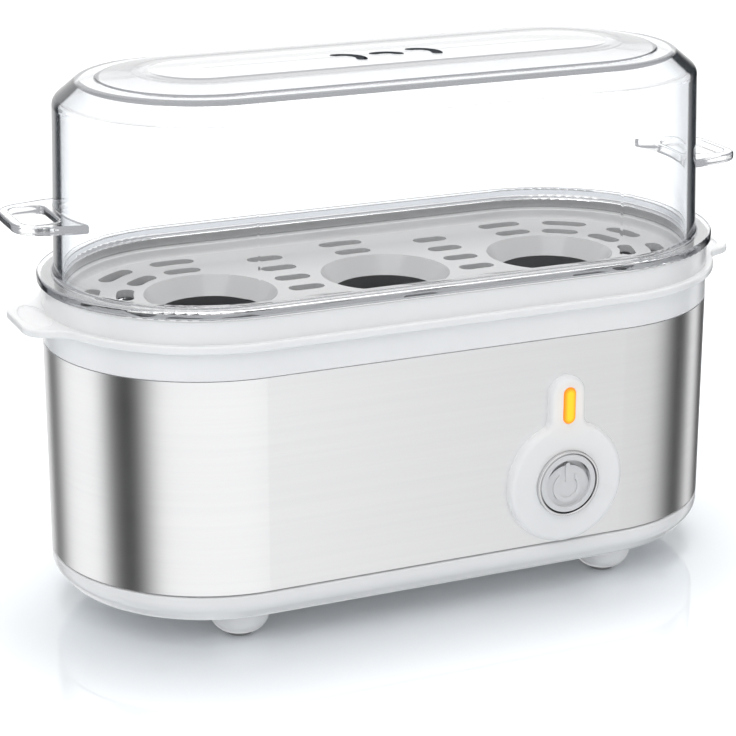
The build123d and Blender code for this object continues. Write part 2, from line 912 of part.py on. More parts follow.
def switched_lead():
    x, y, z = switch_terminal(1)
    end_x, end_y, end_z = blade_end(1)
    turn_y = y + lead_run
    level = heater_lead_depth()
    return tube(
        lead_radius, lead_bend,
        (x, y, z), (x, turn_y, z), (x, turn_y, level), (end_x, turn_y, level), (end_x, end_y, level),
        (end_x, end_y, end_z),
    )


def fuse_start():
    return lead_run / 2


def thermal_fuse():
    x = blade_end(-1)[0]
    z = heater_lead_depth()
    along = Plane(origin=(x, fuse_start(), z), z_dir=(0, 1, 0))
    return extrude(along * Circle(fuse_radius), fuse_length)


def fuse_lead():
    x, y, z = blade_end(-1)
    level = heater_lead_depth()
    return tube(lead_radius, lead_bend, (x, y, z), (x, y, level), (x, fuse_start() - seat_gap, level))


def element_pin_end():
    return element_height() - element_pin_drop - seat_gap


def heater_lead():
    x = blade_end(-1)[0]
    level = heater_lead_depth()
    start = fuse_start() + fuse_length + seat_gap
    return tube(
        lead_radius, lead_bend,
        (x, start, level), (x, element_run, level), (-element_pin_x, element_run, level),
        (-element_pin_x, element_run, element_pin_end()),
    )


def neutral_lead():
    exit_x, y, low = block_exit(-1)
    return tube(
        lead_radius, lead_bend,
        (element_pin_x, element_run, element_pin_end()),
        (element_pin_x, element_run, element_pin_end() - lead_run),
        (element_pin_x, y, low + lead_run),
        (element_pin_x, y, low),
        (exit_x, y, low),
    )


def lamp_leads():
    start = -panel_front + holder_start() + holder_depth + lamp_pin_length + seat_gap
    back = start + lamp_lead_run
    down = -panel_front + switch_start + seat_gap + lamp_lead_inset + lamp_lead_radius
    top = panel_z + switch_height / 2 + seat_gap
    level = top + lamp_lead_rise
    z = panel_z + lens_rise
    leads = Part()
    for side in (-1, 1):
        x = panel_x + side * lamp_pin_offset
        leads += tube(
            lamp_lead_radius, lamp_lead_bend,
            (x, start, z), (x, back, z), (x, back, level), (x, down, level), (x, down, top),
        )
    return leads


def foot(x, y):
    dome = upright(foot_radius, foot_lift, base_bottom, x, y)
    dome = fillet(dome.edges().sort_by(Axis.Z)[0], foot_round)
    dome += upright(foot_peg_radius, base_bottom - root_depth, floor_top, x, y)
    return dome - upright(pad_radius + peg_gap, 0, foot_lift + pad_sink + rest_gap, x, y)


def foot_pad(x, y):
    return upright(pad_radius, 0, foot_lift + pad_sink, x, y)


def brim_plan():
    """Bead round the tray with a thumb tab at each end, blended in by hollow corners."""
    tip = half_spine + end_radius + tab_reach
    start = half_spine + end_radius / 2
    root_half = tab_half_width + (tip - start) * tan(radians(tab_flare))
    plate = make_face(Polyline(
        (start, -root_half), (tip, -tab_half_width), (tip, tab_half_width), (start, root_half), close=True,
    ).edges())
    plate = fillet(plate.vertices().sort_by(Axis.X)[-2:], tab_corner)
    bead = SlotOverall(body_length + 2 * tray_bead, body_width + 2 * tray_bead)
    plan = bead + plate + Rot(0, 0, 180) * plate
    bead_tip = half_spine + end_radius + tray_bead
    joints = plan.vertices().filter_by(
        lambda v: start < abs(v.X) < bead_tip and tab_half_width < abs(v.Y) < root_half
    )
    return fillet(joints, tab_root_round)


def egg_tray():
    skirt_outer = collar_inner - drop_in_gap
    skirt_inner = skirt_outer - tray_skirt_wall
    skirt_bottom = tray_bottom - tray_skirt_depth
    tray = around(section_of(
        (0, tray_floor_top - tray_floor, 0),
        (skirt_inner, tray_floor_top - tray_floor, 0),
        (skirt_inner, skirt_bottom, fine_round),
        (skirt_outer, skirt_bottom, fine_round),
        (skirt_outer, tray_bottom, 0),
        (end_radius, tray_bottom, 0),
        (end_radius, tray_rim_top, soft_round),
        (tray_rim_inner, tray_rim_top, fine_round),
        (tray_rim_inner, tray_rim_top - tray_ledge_drop, fine_round),
        (tray_floor_edge, tray_rim_top - tray_ledge_drop, fine_round),
        (tray_floor_edge, tray_floor_top, tray_floor_round),
        (0, tray_floor_top, 0),
    ))
    tray += tray_brim()
    seat_bottom = tray_floor_top - seat_depth
    for seat in (-1, 0, 1):
        cup = Pos(seat * seat_pitch, 0, seat_bottom + seat_depth / 2)
        tray += cup * Cone(seat_foot_radius + seat_wall, seat_radius + seat_wall, seat_depth)
    for seat in (-1, 0, 1):
        cup = Pos(seat * seat_pitch, 0, seat_bottom + seat_depth / 2)
        tray -= cup * Cone(seat_foot_radius, seat_radius, seat_depth)
    tray -= Pos(0, 0, tray_floor_top - tray_floor) * extrude(tray_slots(), tray_floor)
    return tray


def tray_brim():
    bead_top = tray_bottom + tray_bead_height
    brim = Pos(0, 0, tray_bottom) * extrude(brim_plan(), tray_bead_height)
    brim = fillet(brim.edges().group_by(Axis.Z)[-1], soft_round)
    brim = fillet(brim.edges().group_by(Axis.Z)[0], soft_round)
    brim -= slab(tray_rim_width, tray_bottom - cut_spare, bead_top + cut_spare)
    dish_x = half_spine + end_radius + tab_reach - tab_rim - tab_dish_length / 2
    dish = scale(Sphere(1), by=(tab_dish_length / 2, tab_dish_width / 2, tab_dish_depth))
    for side in (-1, 1):
        brim -= Pos(side * dish_x, 0, bead_top) * dish
    return brim


def tray_slots():
    """Steam slots: rows between the seats, and arcs round the two end seats and the middle one."""
    ring = seat_radius + seat_wall + slot_web + slot_width / 2
    row_length = seat_pitch - 2 * (seat_radius + seat_wall + slot_web)
    slots = Sketch()
    for column in (-0.5, 0.5):
        for row in range(slot_rows):
            y = (row - (slot_rows - 1) / 2) * slot_row_pitch
            slots += Pos(column * seat_pitch, y) * SlotOverall(row_length, slot_width)
    outer_ring = tray_floor_edge - slot_edge_gap - slot_width / 2
    rings = int((outer_ring - ring) / slot_ring_pitch) + 1
    for radius in [ring + number * slot_ring_pitch for number in range(rings)]:
        for step in range(slot_ring_count):
            middle = (step - (slot_ring_count - 1) / 2) * slot_ring_step
            slots += arc_slot(seat_pitch, radius, middle)
            slots += arc_slot(-seat_pitch, radius, 180 + middle)
        slots += arc_slot(0, radius, 90)
        slots += arc_slot(0, radius, -90)
    return slots


def arc_slot(x, radius, middle):
    arc = CenterArc((x, 0), radius, middle - slot_ring_span / 2, slot_ring_span)
    return SlotArc(arc, slot_width)


def inset_corner(before, corner, after, depth):
    """Point inside a corner of an outline, at one depth from both of its sides."""
    first = (Vector(*corner) - Vector(*before)).normalized()
    second = (Vector(*after) - Vector(*corner)).normalized()
    sides = Vector(-first.Y - second.Y, first.X + second.X)
    inside = Vector(*corner) + sides * (depth / (1 + first.dot(second)))
    return (inside.X, inside.Y)


def lid_section():
    flange_outer = end_radius + lid_flange
    flange_top = lid_bottom + lid_flange_thickness
    lip_bottom = lid_bottom - lid_lip_depth
    lip_inner = lid_lip_outer - lid_wall
    foot = (lid_lip_outer, lid_bottom)
    shoulder = (lid_lip_outer - lid_draft, lid_bottom + lid_shoulder_z)
    ledge = (shoulder[0] - lid_shoulder_width, lid_top)
    crown = (ledge[0] - lid_ledge_width, lid_top)
    edge = (crown[0] - lid_crown_lean, lid_top + lid_crown_edge)
    crest = (edge[0] - lid_slope_width, edge[1] + lid_slope_height)
    peak = (0, lid_top + lid_crown_height)
    outer = FilletPolyline(
        (lid_lip_outer, lip_bottom),
        foot,
        (flange_outer, lid_bottom),
        (flange_outer, flange_top),
        (lid_lip_outer, flange_top),
        shoulder,
        ledge,
        crown,
        edge,
        crest,
        peak,
        radius=[
            fine_round, soft_round, soft_round, soft_round,
            lid_shoulder_round, lid_ledge_round, soft_round, soft_round, lid_crest_round,
        ],
    )
    inner_peak = (0, peak[1] - lid_wall)
    inner = FilletPolyline(
        (lip_inner, lip_bottom),
        inset_corner(foot, shoulder, ledge, lid_wall),
        inset_corner(shoulder, ledge, crown, lid_wall),
        inset_corner(ledge, crown, edge, lid_wall),
        inset_corner(crown, edge, crest, lid_wall),
        inset_corner(edge, crest, peak, lid_wall),
        inner_peak,
        radius=[
            max(lid_shoulder_round - lid_wall, fine_round),
            max(lid_ledge_round - lid_wall, fine_round),
            soft_round,
            soft_round,
            max(lid_crest_round - lid_wall, fine_round),
        ],
    )
    lines = [
        Line(peak, inner_peak),
        Line((lip_inner, lip_bottom), (lid_lip_outer, lip_bottom)),
    ]
    return make_face(outer.edges() + inner.edges() + [line.edge() for line in lines])


def lid_cavity():
    """What the lid's wall encloses, for cutting the grips back to the wall."""
    top = lid_bottom + lid_shoulder_z
    return slab(end_radius - lid_lip_outer + lid_wall / 2 + lid_draft, lid_bottom, top)


def grip_plan():
    """Loop grip at the right end of the lid."""
    root = half_spine + lid_lip_outer - lid_draft
    tip = half_spine + end_radius + grip_reach
    start = half_spine + end_radius / 2
    plate = make_face(Polyline(
        (start, -grip_root_half), (root, -grip_root_half), (tip, -grip_half_width),
        (tip, grip_half_width), (root, grip_root_half), (start, grip_root_half), close=True,
    ).edges())
    plate = fillet(plate.vertices().sort_by(Axis.X)[-2:], grip_corner)
    window_start = half_spine + lid_lip_outer + grip_window_wall
    window_end = tip - grip_bar
    window = Pos((window_start + window_end) / 2, 0) * RectangleRounded(
        window_end - window_start, 2 * (grip_half_width - grip_bar), grip_window_corner)
    return plate - window


def lid_grip():
    low = lid_bottom + grip_rise
    grip = Pos(0, 0, low) * extrude(grip_plan(), grip_thickness)
    grip = fillet(grip.edges().group_by(Axis.Z)[-1], grip_edge_round)
    grip = fillet(grip.edges().group_by(Axis.Z)[0], grip_edge_round)
    return grip - lid_cavity()


def vents():
    """Three curved steam vents in the crown."""
    centre = (-middle_vent_shift, -middle_vent_drop)
    slots = SlotArc(CenterArc(centre, vent_radius, middle_vent_first, middle_vent_sweep), vent_width)
    for side in (-1, 1):
        centre = (side * vent_spacing - side_vent_shift, -side_vent_drop)
        slots += SlotArc(CenterArc(centre, vent_radius, side_vent_first, side_vent_sweep), vent_width)
    return slots


def lid():
    cover = around(lid_section())
    grip = lid_grip()
    cover += grip
    cover += Rot(0, 0, 180) * grip
    return cover - Pos(0, 0, lid_top) * extrude(vents(), 2 * lid_crown_height, both=True)


pieces = {
    "base_shell": base_shell,
    "base_screws": base_screws,
    "steel_band": steel_band,
    "housing_collar": housing_collar,
    "heating_bowl": heating_bowl,
    "bowl_seal": bowl_seal,
    "heating_element": heating_element,
    "element_clamps": element_clamps,
    "clamp_nuts": clamp_nuts,
    "thermostat": thermostat,
    "thermostat_screws": thermostat_screws,
    "thermal_fuse": thermal_fuse,
    "control_bezel": control_bezel,
    "button_ring": button_ring,
    "power_button": power_button,
    "button_spring": button_spring,
    "switch_plunger": switch_plunger,
    "push_switch": push_switch,
    "switch_bracket": switch_bracket,
    "bracket_screws": bracket_screws,
    "indicator_lens": indicator_lens,
    "lamp_holder": lamp_holder,
    "indicator_lamp": indicator_lamp,
    "cord_gland": cord_gland,
    "gland_clip": gland_clip,
    "terminal_block": terminal_block,
    "terminal_screws": terminal_screws,
    "supply_lead": supply_lead,
    "switched_lead": switched_lead,
    "fuse_lead": fuse_lead,
    "heater_lead": heater_lead,
    "neutral_lead": neutral_lead,
    "lamp_leads": lamp_leads,
    "egg_tray": egg_tray,
    "lid": lid,
}
for name, make in pieces.items():
    export_step(make(), "parts/" + name + ".step")

corner_names = ("front_left", "front_right", "rear_left", "rear_right")
for corner, (x, y) in zip(corner_names, foot_places):
    export_step(foot(x, y), "parts/foot_" + corner + ".step")
    export_step(foot_pad(x, y), "parts/foot_pad_" + corner + ".step")
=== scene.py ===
import bpy
import json
import math
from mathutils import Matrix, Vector

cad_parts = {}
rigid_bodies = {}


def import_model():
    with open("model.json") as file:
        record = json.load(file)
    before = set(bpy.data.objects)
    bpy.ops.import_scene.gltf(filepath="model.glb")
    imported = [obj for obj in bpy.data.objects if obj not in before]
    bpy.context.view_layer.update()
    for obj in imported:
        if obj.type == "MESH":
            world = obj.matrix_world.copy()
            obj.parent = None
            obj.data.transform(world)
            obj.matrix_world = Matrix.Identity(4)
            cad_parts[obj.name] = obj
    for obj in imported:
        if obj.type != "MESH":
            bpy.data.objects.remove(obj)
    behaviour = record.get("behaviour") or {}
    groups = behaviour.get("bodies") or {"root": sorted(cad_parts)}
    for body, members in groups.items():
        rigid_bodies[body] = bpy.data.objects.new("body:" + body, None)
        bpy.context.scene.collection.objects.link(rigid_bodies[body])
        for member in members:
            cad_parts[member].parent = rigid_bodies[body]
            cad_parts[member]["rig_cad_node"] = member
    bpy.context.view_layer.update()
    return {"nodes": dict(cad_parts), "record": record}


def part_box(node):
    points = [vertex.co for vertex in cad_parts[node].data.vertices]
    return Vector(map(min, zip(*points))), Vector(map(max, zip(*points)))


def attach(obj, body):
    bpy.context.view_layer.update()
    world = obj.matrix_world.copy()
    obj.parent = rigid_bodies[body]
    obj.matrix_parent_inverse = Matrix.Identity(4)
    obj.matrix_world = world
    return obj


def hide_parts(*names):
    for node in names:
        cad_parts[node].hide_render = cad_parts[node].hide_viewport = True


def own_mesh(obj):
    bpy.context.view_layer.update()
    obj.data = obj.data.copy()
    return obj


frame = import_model()
nodes = frame["nodes"]
mm = 0.001  # the frame is in metres
bandLow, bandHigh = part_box("steel_band")
bandLength, bandWidth = (bandHigh[axis] - bandLow[axis] for axis in (0, 1))
halfSpine = (bandLength - bandWidth) / 2  # the body's straight part, from its middle to a round end
print("frame loaded:", len(nodes), "nodes")

# Camera

cameraView = {
    "target": (-4.728, 0.0, 57.402),  # mm
    "azimuth": -23.765,  # degrees, 0 looks along +Y
    "elevation": 18.296,
    "distance": 636.48,
    "lens": 113.87,
    "sensor": 36.0,
    "clip": (0.01, 30.0),  # m
}


def addCamera(s):
    turn = math.radians(s["azimuth"])
    rise = math.radians(s["elevation"])
    away = Vector((math.sin(turn) * math.cos(rise), -math.cos(turn) * math.cos(rise), math.sin(rise)))
    target = Vector(s["target"]) * mm
    data = bpy.data.cameras.new("camera")
    data.lens = s["lens"]
    data.sensor_width = s["sensor"]
    data.clip_start, data.clip_end = s["clip"]
    camera = bpy.data.objects.new("camera", data)
    camera.location = target + away * s["distance"] * mm
    camera.rotation_euler = (-away).to_track_quat("-Z", "Y").to_euler()
    bpy.context.scene.collection.objects.link(camera)
    bpy.context.scene.camera = camera


addCamera(cameraView)
bpy.context.scene.view_settings.view_transform = "Standard"
print("camera placed")

# Helpers for materials and their nodes


def rgba(colour):
    return tuple(colour) + (1.0,)


def newMaterial(name):
    mat = bpy.data.materials.new(name)
    mat.use_nodes = True
    tree = mat.node_tree
    tree.nodes.clear()
    out = tree.nodes.new("ShaderNodeOutputMaterial")
    bsdf = tree.nodes.new("ShaderNodeBsdfPrincipled")
    tree.links.new(bsdf.outputs["BSDF"], out.inputs["Surface"])
    return mat, tree, bsdf


def newGroup(name, inputs, outputs):
    group = bpy.data.node_groups.new(name, "ShaderNodeTree")
    for label, kind, value in inputs:
        socket = group.interface.new_socket(name=label, in_out="INPUT", socket_type=kind)
        socket.default_value = value
    for label, kind in outputs:
        group.interface.new_socket(name=label, in_out="OUTPUT", socket_type=kind)
    start = group.nodes.new("NodeGroupInput")
    end = group.nodes.new("NodeGroupOutput")
    return group, start, end


def mixColour(tree, factor, first, second):
    mix = tree.nodes.new("ShaderNodeMix")
    mix.data_type = "RGBA"
    tree.links.new(factor, mix.inputs[0])
    tree.links.new(first, mix.inputs[6])
    tree.links.new(second, mix.inputs[7])
    return mix.outputs[2]


def mathNode(tree, operation, first, second=None, third=None):
    node = tree.nodes.new("ShaderNodeMath")
    node.operation = operation
    for slot, value in zip(node.inputs, (first, second, third)):
        if value is None:
            continue
        if isinstance(value, (int, float)):
            slot.default_value = value
        else:
            tree.links.new(value, slot)
    return node.outputs[0]


def product(tree, first, *others):
    for other in others:
        first = mathNode(tree, "MULTIPLY", first, other)
    return first


def without(tree, share):
    return mathNode(tree, "SUBTRACT", 1.0, share)


def between(tree, value, low, high):  # smooth 0..1 rise between two values
    node = tree.nodes.new("ShaderNodeMapRange")
    node.interpolation_type = "SMOOTHSTEP"
    node.inputs["From Min"].default_value = low
    node.inputs["From Max"].default_value = high
    tree.links.new(value, node.inputs["Value"])
    return node.outputs[0]


def tinted(tree, colour, factor, tint):  # multiply a colour by a tint where the factor is 1
    mix = tree.nodes.new("ShaderNodeMix")
    mix.data_type = "RGBA"
    mix.blend_type = "MULTIPLY"
    mix.inputs[7].default_value = rgba(tint)
    tree.links.new(factor, mix.inputs[0])
    tree.links.new(colour, mix.inputs[6])
    return mix.outputs[2]


def splitVector(tree, vector):
    split = tree.nodes.new("ShaderNodeSeparateXYZ")
    tree.links.new(vector, split.inputs[0])
    return [split.outputs[axis] for axis in "XYZ"]


def objectPlace(tree):
    return splitVector(tree, tree.nodes.new("ShaderNodeTexCoord").outputs["Object"])


def spineReach(tree, x, y):  # how far a point is past the end of the body's spine, and from the spine
    past = mathNode(tree, "SUBTRACT", mathNode(tree, "ABSOLUTE", x), halfSpine)
    past = mathNode(tree, "MAXIMUM", past, 0.0)
    squares = mathNode(tree, "MULTIPLY_ADD", past, past, mathNode(tree, "MULTIPLY", y, y))
    return past, mathNode(tree, "SQRT", squares)


def seenByCamera(tree):  # straight, or through the lid
    path = tree.nodes.new("ShaderNodeLightPath")
    return mathNode(tree, "MAXIMUM", path.outputs["Is Camera Ray"], path.outputs["Is Transmission Ray"])


# Studio: even world light, dark cards that only reflections see, white floor

studio = {
    "matt": 0.62,  # light that matt surfaces get from all round
    "cards": {  # azimuth, half width and the soft edge before and after it, all in degrees
        "rearRight": {"azimuth": 37.0, "half": 5.0, "before": 14.0, "after": 11.0, "grey": 0.0},
        "rearLeft": {"azimuth": 110.0, "half": 3.0, "before": 12.0, "after": 23.0, "grey": 0.08},
        "left": {"azimuth": 187.0, "half": 5.0, "before": 20.0, "after": 27.0, "grey": 0.0},
        "front": {"azimuth": 308.0, "half": 9.0, "before": 10.0, "after": 40.0, "grey": 0.75},
        "right": {"azimuth": 358.0, "half": 4.0, "before": 32.0, "after": 14.0, "grey": 0.0},
    },
}


def addCard(tree, azimuth, light, s):  # one card takes its share out of the light
    offset = mathNode(tree, "SUBTRACT", azimuth, math.radians(s["azimuth"] - 180.0))
    turned = mathNode(tree, "FLOORED_MODULO", offset, 2.0 * math.pi)
    away = mathNode(tree, "SUBTRACT", turned, math.pi)
    half = math.radians(s["half"])
    rise = between(tree, away, -half - math.radians(s["before"]), -half)
    fall = between(tree, away, half, half + math.radians(s["after"]))
    shade = mathNode(tree, "MULTIPLY", rise, without(tree, fall))
    share = mathNode(tree, "MULTIPLY_ADD", shade, s["grey"] - 1.0, 1.0)
    return mathNode(tree, "MULTIPLY", light, share)


def addWorld(s):
    world = bpy.data.worlds.new("studio")
    bpy.context.scene.world = world
    world.use_nodes = True
    tree = world.node_tree
    tree.nodes.clear()
    new, link = tree.nodes.new, tree.links.new
    x, y, _ = splitVector(tree, new("ShaderNodeTexCoord").outputs["Generated"])
    azimuth = mathNode(tree, "ARCTAN2", y, x)
    light = 1.0
    for card in s["cards"].values():
        light = addCard(tree, azimuth, light, card)
    polished = new("ShaderNodeMix")  # only reflections show the cards
    polished.inputs["A"].default_value = s["matt"]
    link(new("ShaderNodeLightPath").outputs["Is Glossy Ray"], polished.inputs["Factor"])
    link(light, polished.inputs["B"])
    white = new("ShaderNodeMix")  # the camera sees plain white, also through the lid
    white.inputs["B"].default_value = 1.0
    link(seenByCamera(tree), white.inputs["Factor"])
    link(polished.outputs["Result"], white.inputs["A"])
    back = new("ShaderNodeBackground")
    link(white.outputs["Result"], back.inputs["Color"])
    out = new("ShaderNodeOutputWorld")
    link(back.outputs[0], out.inputs["Surface"])


floorSet = {
    "size": 8.0,  # m
    "drop": 0.05,  # mm under the pads
    "colour": (0.87, 0.905, 0.935),
    "roughness": 0.03,
    "ior": 1.8,
    "glow": (0.02, 0.32),  # under the object, and far from it, where the camera sees white; the weaker glow near the body is painted shade round it
    "fade": (0.048, 0.105),  # m from the body's spine
}


def addFloor(s):
    bpy.ops.object.select_all(action="DESELECT")
    bpy.ops.mesh.primitive_plane_add(size=s["size"], location=(0, 0, -s["drop"] * mm))
    floor = bpy.context.object
    floor.name = "floor"
    floor.visible_glossy = False  # upright metal shows the studio, not the floor
    mat, tree, bsdf = newMaterial("floorWhite")
    bsdf.inputs["Base Color"].default_value = rgba(s["colour"])
    bsdf.inputs["Roughness"].default_value = s["roughness"]
    bsdf.inputs["IOR"].default_value = s["ior"]
    x, y, _ = objectPlace(tree)
    _, reach = spineReach(tree, x, y)
    near, far = s["glow"]
    # far away this glow is an even white floor; its fall towards the body paints a darker, tighter shadow
    # round it
    level = mathNode(tree, "MULTIPLY_ADD", between(tree, reach, *s["fade"]), far - near, near)
    glow = mathNode(tree, "MULTIPLY", seenByCamera(tree), level)
    tree.links.new(glow, bsdf.inputs["Emission Strength"])
    bsdf.inputs["Emission Color"].default_value = (1.0, 1.0, 1.0, 1.0)
    floor.data.materials.append(mat)


lamps = {  # places and sizes in m, power in W
    "key": {"place": (-0.55, -0.75, 1.15), "aim": (0.0, 0.0, 0.06), "size": 0.9, "power": 5.5},
    "top": {"place": (0.15, 0.25, 1.2), "aim": (0.0, 0.0, 0.06), "size": 0.8, "power": 9.0},
}


def addLamp(name, s):
    data = bpy.data.lights.new(name, "AREA")
    data.shape = "SQUARE"
    data.size = s["size"]
    data.energy = s["power"]
    lamp = bpy.data.objects.new(name, data)
    lamp.location = s["place"]
    lamp.rotation_euler = (Vector(s["aim"]) - Vector(s["place"])).to_track_quat("-Z", "Y").to_euler()
    lamp.visible_glossy = False  # metal shows the studio, not the lamps
    bpy.context.scene.collection.objects.link(lamp)


lensGlow = {"power": 0.0003, "colour": (1.0, 0.62, 0.15), "ahead": 0.006, "radius": 0.003}  # W, m


def addLensGlow(s, low, middle):  # the lit lens warms the plate round it
    data = bpy.data.lights.new("lensGlow", "POINT")
    data.energy = s["power"]
    data.color = s["colour"]
    data.shadow_soft_size = s["radius"]
    lamp = bpy.data.objects.new("lensGlow", data)
    lamp.location = (middle[0], low[1] - s["ahead"], middle[2])
    lamp.visible_glossy = False
    bpy.context.scene.collection.objects.link(lamp)


# Grain that most finishes share

grainNoise = {
    "fineDetail": 4.0,
    "fineRoughness": 0.6,
    "broadDetail": 3.0,
    "share": 0.5,  # of the fine and of the broad noise, and the noise's own middle
}


def spread(tree, value, middle, change):  # middle value, swung up and down by a 0..1 noise
    centred = mathNode(tree, "SUBTRACT", value, grainNoise["share"])
    return mathNode(tree, "MULTIPLY_ADD", centred, change, middle)


def grainGroup():  # noise, stretched along the grain, that varies colour, gloss and height
    group, start, end = newGroup(
        "surfaceGrain",
        [
            ("Color", "NodeSocketColor", (0.8, 0.8, 0.8, 1.0)),
            ("Tint", "NodeSocketColor", (0.7, 0.7, 0.7, 1.0)),
            ("Stretch", "NodeSocketVector", (1.0, 1.0, 1.0)),
            ("Fine Scale", "NodeSocketFloat", 900.0),
            ("Broad Scale", "NodeSocketFloat", 40.0),
            ("Roughness", "NodeSocketFloat", 0.3),
            ("Roughness Change", "NodeSocketFloat", 0.1),
        ],
        [("Color", "NodeSocketColor"), ("Roughness", "NodeSocketFloat"), ("Height", "NodeSocketFloat")],
    )
    new, link = group.nodes.new, group.links.new
    place = new("ShaderNodeTexCoord")
    pull = new("ShaderNodeVectorMath")
    pull.operation = "MULTIPLY"
    link(place.outputs["Object"], pull.inputs[0])
    link(start.outputs["Stretch"], pull.inputs[1])
    fine = new("ShaderNodeTexNoise")
    fine.inputs["Detail"].default_value = grainNoise["fineDetail"]
    fine.inputs["Roughness"].default_value = grainNoise["fineRoughness"]
    link(pull.outputs[0], fine.inputs["Vector"])
    link(start.outputs["Fine Scale"], fine.inputs["Scale"])
    broad = new("ShaderNodeTexNoise")
    broad.inputs["Detail"].default_value = grainNoise["broadDetail"]
    link(pull.outputs[0], broad.inputs["Vector"])
    link(start.outputs["Broad Scale"], broad.inputs["Scale"])
    half = mathNode(group, "MULTIPLY", broad.outputs[0], grainNoise["share"])
    both = mathNode(group, "MULTIPLY_ADD", fine.outputs[0], grainNoise["share"], half)
    colour = mixColour(group, both, start.outputs["Color"], start.outputs["Tint"])
    link(colour, end.inputs["Color"])
    rough = spread(group, both, start.outputs["Roughness"], start.outputs["Roughness Change"])
    link(rough, end.inputs["Roughness"])
    link(fine.outputs[0], end.inputs["Height"])
    return group


surfaceGrain = grainGroup()


def dressWithGrain(tree, bsdf, s):
    grain = tree.nodes.new("ShaderNodeGroup")
    grain.node_tree = surfaceGrain
    grain.inputs["Color"].default_value = rgba(s["colour"])
    grain.inputs["Tint"].default_value = rgba(s["tint"])
    grain.inputs["Stretch"].default_value = s.get("stretch", (1.0, 1.0, 1.0))
    grain.inputs["Fine Scale"].default_value = s["fine"]
    grain.inputs["Broad Scale"].default_value = s["broad"]
    grain.inputs["Roughness"].default_value = s["roughness"]
    grain.inputs["Roughness Change"].default_value = s["roughChange"]
    colour = grain.outputs["Color"]
    if "under" in s:  # painted shade: faces turned down, in recesses and along the lower rim, are darkened in the colour
        normal = splitVector(tree, tree.nodes.new("ShaderNodeNewGeometry").outputs["Normal"])
        down = mathNode(tree, "MULTIPLY", normal[2], -1.0)
        colour = tinted(tree, colour, between(tree, down, *s["under"]["turn"]), s["under"]["tint"])
    tree.links.new(colour, bsdf.inputs["Base Color"])
    tree.links.new(grain.outputs["Roughness"], bsdf.inputs["Roughness"])
    bump = tree.nodes.new("ShaderNodeBump")
    bump.inputs["Strength"].default_value = s["bump"]
    bump.inputs["Distance"].default_value = s["depth"] * mm
    tree.links.new(grain.outputs["Height"], bump.inputs["Height"])
    tree.links.new(bump.outputs["Normal"], bsdf.inputs["Normal"])


plasticIor = 1.5


def mouldedPlastic(name, s):
    mat, tree, bsdf = newMaterial(name)
    dressWithGrain(tree, bsdf, s)
    bsdf.inputs["IOR"].default_value = plasticIor
    return mat


def workedMetal(name, s):
    mat, tree, bsdf = newMaterial(name)
    dressWithGrain(tree, bsdf, s)
    bsdf.inputs["Metallic"].default_value = s.get("metallic", 1.0)
    bsdf.inputs["Anisotropic"].default_value = s.get("anisotropy", 0.0)
    bsdf.inputs["Anisotropic Rotation"].default_value = s.get("turn", 0.0)
    return mat


# Clear plastic of the lid, with painted shade: darker at its edge-on round ends, in the vents, on the crown
# and the flange, and a painted glow inside its wall

clearLid = {
    "ior": 1.49,
    "roughness": 0.015,
    "shine": 0.22,  # how much of the studio it mirrors
    # painted shade on the round ends, from the face colour through soft grey to the near-black edge
    "face": (0.985, 0.988, 0.992),
    "soft": (0.62, 0.635, 0.66),
    "edge": (0.006, 0.007, 0.0085),
    "softStart": 0.30,  # 0 faces the eye, 1 is edge-on
    "softEnd": 0.63,
    "edgeStart": 0.65,
    "edgeEnd": 0.68,
    "blend": 0.5,
    "ends": (49.0, 53.0),  # mm, where the round ends begin
    "paintedGlow": (0.42, 0.43, 0.45),  # painted glow that stands in for light bouncing inside the wall
    "bounces": 1.5,  # glossy bounces after which the painted glow takes over
    "upright": (0.25, 0.6),  # share of the normal that points up
    "slanted": (0.80, 0.94),  # the same, for the shoulder as well
    # painted shade on the vent walls
    "vent": {"reach": (23.0, 11.0), "bottom": 139.0, "tint": (0.02, 0.022, 0.025)},
    # painted shade on the crown's slope
    "slope": {
        "inner": 14.0, "outer": 27.0, "fade": 41.0,  # mm from the spine
        "lean": (0.0, 0.12),
        "tint": (0.60, 0.605, 0.62),
    },
    # painted shade on the flange's upright edge
    "flange": {"inner": 40.3, "top": 92.6, "tint": (0.28, 0.29, 0.31)},
    "light": 0.73,  # what passes each skin to light the tray
}


def lidPoint(tree, s):  # where a point of the lid is, and how its surface stands there
    x, y, z = objectPlace(tree)
    past, reach = spineReach(tree, x, y)
    geometry = tree.nodes.new("ShaderNodeNewGeometry")
    normal = splitVector(tree, geometry.outputs["Normal"])
    level = mathNode(tree, "ABSOLUTE", normal[2])
    endward = mathNode(tree, "MULTIPLY", mathNode(tree, "SIGN", x), past)
    outward = mathNode(tree, "MULTIPLY_ADD", endward, normal[0], mathNode(tree, "MULTIPLY", y, normal[1]))
    return {
        "length": mathNode(tree, "ABSOLUTE", x),
        "width": mathNode(tree, "ABSOLUTE", y),
        "height": z,
        "reach": reach,
        "level": level,
        "upright": without(tree, between(tree, level, *s["upright"])),
        "outside": mathNode(tree, "GREATER_THAN", outward, 0.0),
        "front": without(tree, geometry.outputs["Backfacing"]),
    }


